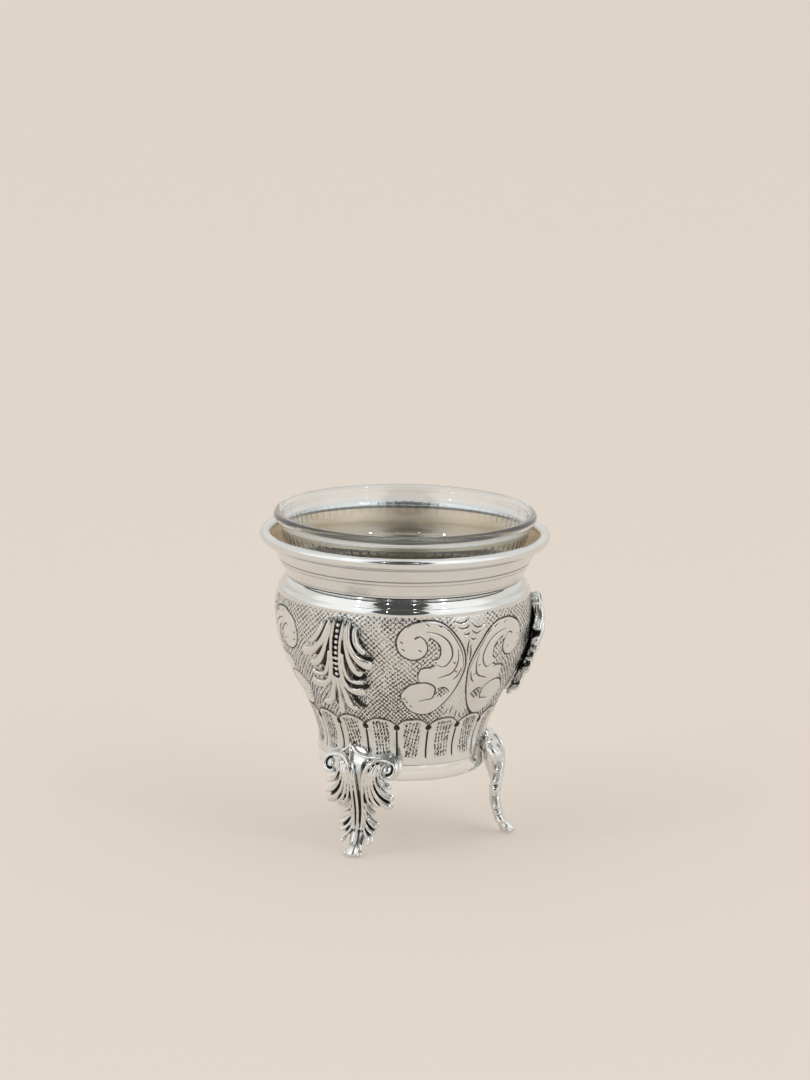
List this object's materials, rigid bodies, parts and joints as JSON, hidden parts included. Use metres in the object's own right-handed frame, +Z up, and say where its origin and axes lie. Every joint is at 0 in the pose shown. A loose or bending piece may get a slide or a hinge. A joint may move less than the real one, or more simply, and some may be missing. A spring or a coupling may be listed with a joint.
{
  "type": "salt cellar",
  "caption": "Silver salt cellar: engraved bulbous holder with flared collar and lip wire, cast scroll feet and leaf mounts, and a clear glass liner that lifts out.",
  "frame": {"origin": "on the vertical axis, at the level of the table under the feet", "axes": "+Z up along the axis of the holder; +X through the first foot and leaf mount"},
  "size_m": [0.06, 0.06, 0.0685],
  "materials": {
    "engraved_silver": "engraved silver with dark oxidised recesses",
    "satin_silver": "spun satin silver",
    "polished_silver": "polished silver",
    "cast_silver": "cast and burnished silver with dark recesses",
    "clear_glass": "clear pressed glass"
  },
  "bodies": {
    "holder": {"body_shell": "engraved_silver", "neck_collar": "satin_silver", "rim_wire": "polished_silver", "base_ring": "polished_silver", "base_plate": "satin_silver", "foot_1": "cast_silver", "foot_2": "cast_silver", "foot_3": "cast_silver", "leaf_1": "cast_silver", "leaf_2": "cast_silver", "leaf_3": "cast_silver"},
    "liner": {"glass_liner": "clear_glass"}
  },
  "joints": [
    {"name": "liner_lift", "type": "slide", "parent": "holder", "child": "liner", "axis": [0, 0, 1], "range_m": [0, 0.05]}
  ]
}
